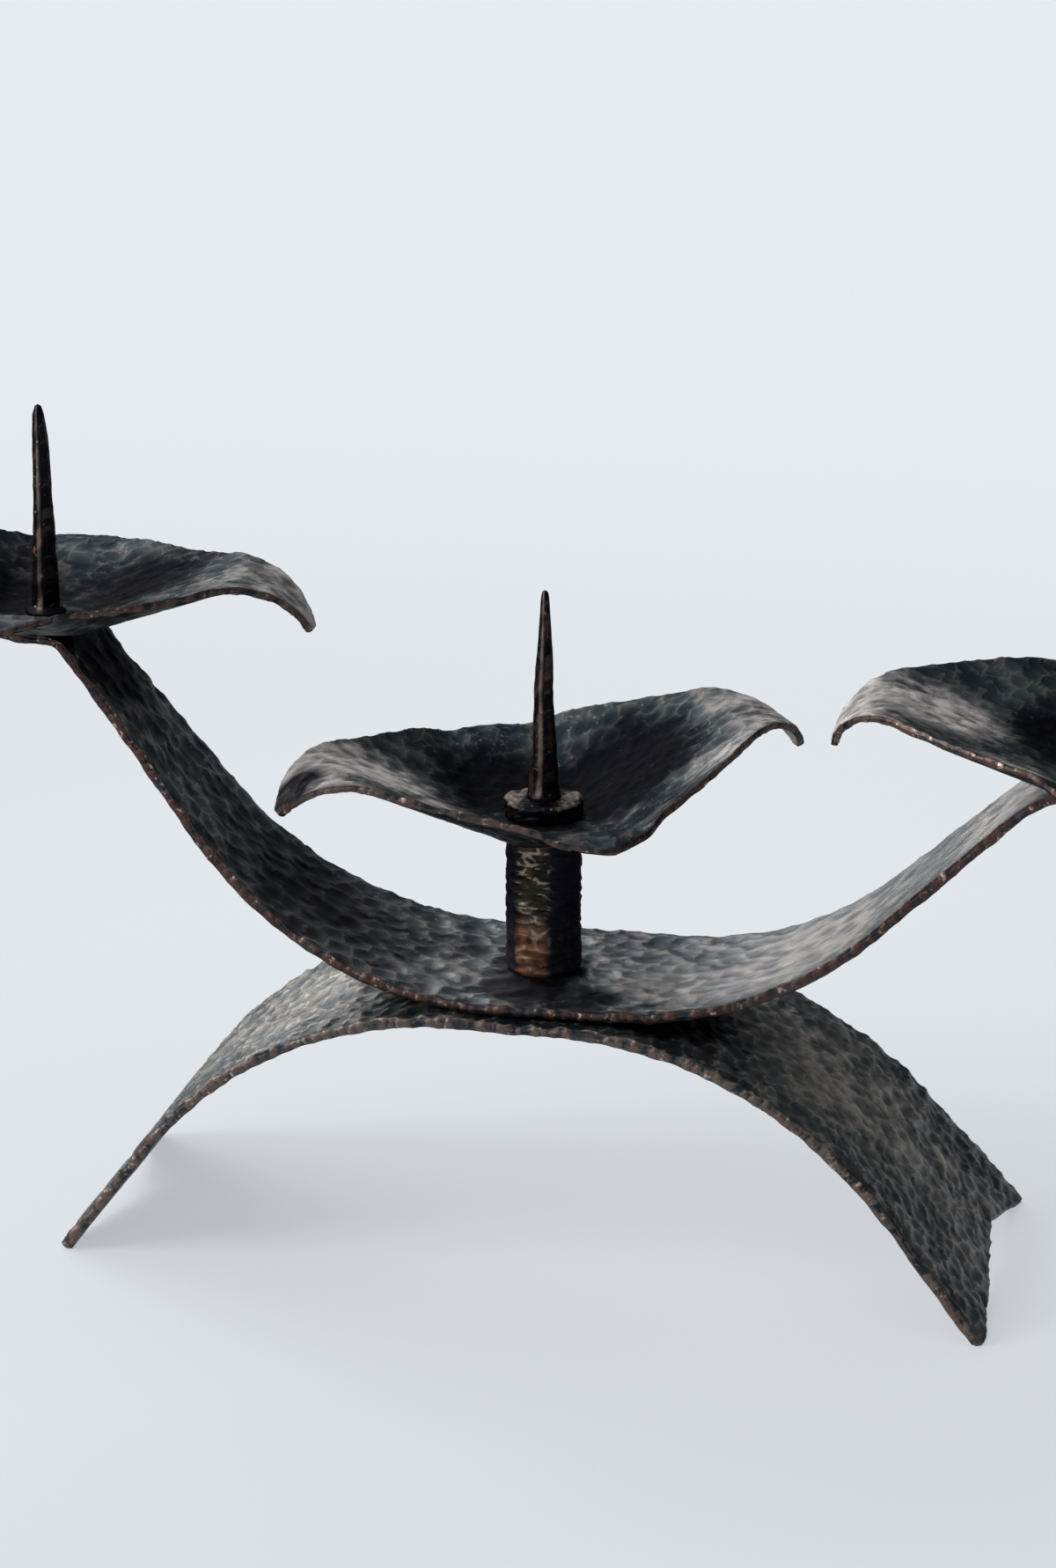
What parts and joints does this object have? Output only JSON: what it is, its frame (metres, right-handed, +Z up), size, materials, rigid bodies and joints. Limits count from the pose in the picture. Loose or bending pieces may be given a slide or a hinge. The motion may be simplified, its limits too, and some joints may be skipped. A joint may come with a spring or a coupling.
{
  "type": "pricket candle stand",
  "caption": "Forged iron pricket stand: an arched foot strap carries a U-shaped arm strap and post, with spiked lozenge pans that have dished middles and curled corners.",
  "frame": {"origin": "on the surface that the stand rests on, straight under the axis of the post and centre spike", "axes": "+X along the straps towards the lower outer pan, +Y to the back, +Z up along the post and spikes"},
  "size_m": [0.4339, 0.1048, 0.2241],
  "materials": {
    "strap_iron": "hammered, oiled, worn brown along the edges",
    "pan_iron": "hammered, oiled, worn pale on the ridges",
    "post_iron": "hammered, oiled, brownish",
    "spike_iron": "forged, nearly black"
  },
  "bodies": {
    "root": {"foot_strap": "strap_iron", "arm_strap": "strap_iron", "centre_post": "post_iron", "centre_pan": "pan_iron", "centre_collar": "spike_iron", "centre_spike": "spike_iron", "left_pan": "pan_iron", "left_spike": "spike_iron", "right_pan": "pan_iron", "right_spike": "spike_iron"}
  },
  "joints": []
}
